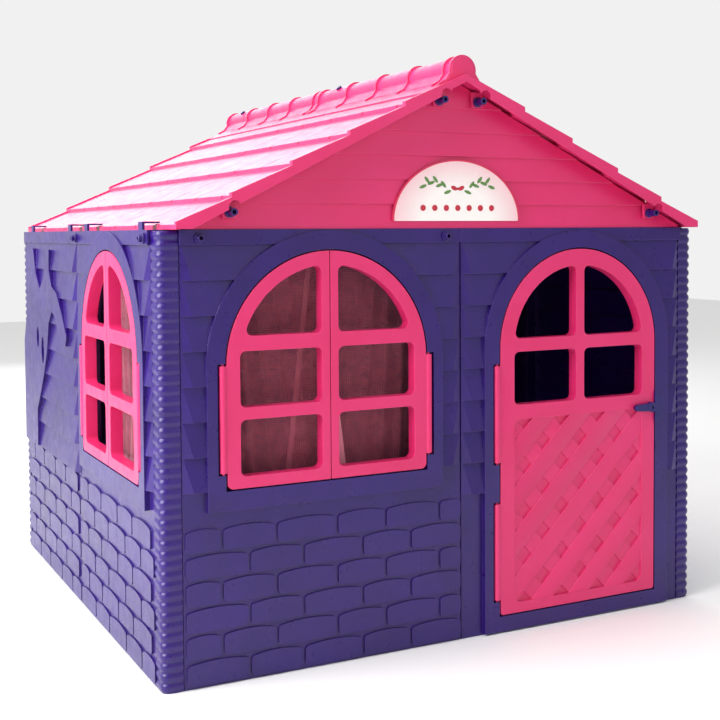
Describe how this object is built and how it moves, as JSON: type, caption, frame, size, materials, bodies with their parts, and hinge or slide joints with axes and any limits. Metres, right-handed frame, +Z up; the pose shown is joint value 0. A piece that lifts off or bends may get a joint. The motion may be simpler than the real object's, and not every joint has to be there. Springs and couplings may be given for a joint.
{
  "type": "playhouse",
  "caption": "Square plastic playhouse with clapboard walls, arched shutters, arched door, curtains and a tiled gable roof.",
  "frame": {"origin": "on the ground under the middle of the house", "axes": "+X along the front to the right as seen from outside, +Y from the front wall to the back wall, +Z up"},
  "size_m": [1.29, 1.29, 1.1939],
  "materials": {
    "purple_plastic": "moulded polypropylene, satin",
    "pink_plastic": "moulded polypropylene, satin",
    "white_plastic": "extruded tube, smooth",
    "curtain_voile": "thin voile with stitched hems",
    "sign_board": "printed plastic plate"
  },
  "bodies": {
    "house": {"back_gable": "pink_plastic", "back_left_panel": "purple_plastic", "back_right_panel": "purple_plastic", "back_roof_bolts": "purple_plastic", "corner_post_back_left": "purple_plastic", "corner_post_back_right": "purple_plastic", "corner_post_front_left": "purple_plastic", "corner_post_front_right": "purple_plastic", "front_curtain_bolts": "purple_plastic", "front_curtain_left": "curtain_voile", "front_curtain_right": "curtain_voile", "front_curtain_rod": "white_plastic", "front_door_panel": "purple_plastic", "front_gable": "pink_plastic", "front_roof_bolts": "purple_plastic", "front_window_panel": "purple_plastic", "left_curtain_bolts": "purple_plastic", "left_curtain_left": "curtain_voile", "left_curtain_right": "curtain_voile", "left_curtain_rod": "white_plastic", "left_tree_panel": "purple_plastic", "left_window_panel": "purple_plastic", "ridge_bolts": "purple_plastic", "ridge_cap_front": "pink_plastic", "ridge_cap_rear": "pink_plastic", "right_curtain_bolts": "purple_plastic", "right_curtain_left": "curtain_voile", "right_curtain_right": "curtain_voile", "right_curtain_rod": "white_plastic", "right_plain_panel": "purple_plastic", "right_window_panel": "purple_plastic", "roof_slope_left": "pink_plastic", "roof_slope_right": "pink_plastic", "sign_plate": "sign_board"},
    "front_shutter_left": {"front_shutter_left": "pink_plastic"},
    "front_shutter_right": {"front_shutter_right": "pink_plastic"},
    "left_shutter_left": {"left_shutter_left": "pink_plastic"},
    "left_shutter_right": {"left_shutter_right": "pink_plastic"},
    "right_shutter_left": {"right_shutter_left": "pink_plastic"},
    "right_shutter_right": {"right_shutter_right": "pink_plastic"},
    "door": {"door": "pink_plastic"},
    "latch": {"latch_lever": "purple_plastic", "latch_tongue": "purple_plastic"}
  },
  "joints": [
    {"name": "front_shutter_left_hinge", "type": "hinge", "parent": "house", "child": "front_shutter_left", "pos_m": [-0.50725, -0.607, 0.4965], "axis": [0, 0, -1], "range_deg": [0, 95]},
    {"name": "front_shutter_right_hinge", "type": "hinge", "parent": "house", "child": "front_shutter_right", "pos_m": [-0.06925, -0.607, 0.4965], "axis": [0, 0, 1], "range_deg": [0, 95]},
    {"name": "left_shutter_left_hinge", "type": "hinge", "parent": "house", "child": "left_shutter_left", "pos_m": [-0.632, -0.062, 0.4965], "axis": [0, 0, -1], "range_deg": [0, 95]},
    {"name": "left_shutter_right_hinge", "type": "hinge", "parent": "house", "child": "left_shutter_right", "pos_m": [-0.632, -0.5, 0.4965], "axis": [0, 0, 1], "range_deg": [0, 95]},
    {"name": "right_shutter_left_hinge", "type": "hinge", "parent": "house", "child": "right_shutter_left", "pos_m": [0.632, 0.062, 0.4965], "axis": [0, 0, -1], "range_deg": [0, 95]},
    {"name": "right_shutter_right_hinge", "type": "hinge", "parent": "house", "child": "right_shutter_right", "pos_m": [0.632, 0.5, 0.4965], "axis": [0, 0, 1], "range_deg": [0, 95]},
    {"name": "door_hinge", "type": "hinge", "parent": "house", "child": "door", "pos_m": [0.09525, -0.607, 0.3165], "axis": [0, 0, -1], "range_deg": [0, 95]},
    {"name": "latch_turn", "type": "hinge", "parent": "door", "child": "latch", "pos_m": [0.49825, -0.611, 0.449], "axis": [0, -1, 0], "range_deg": [0, 90]}
  ]
}
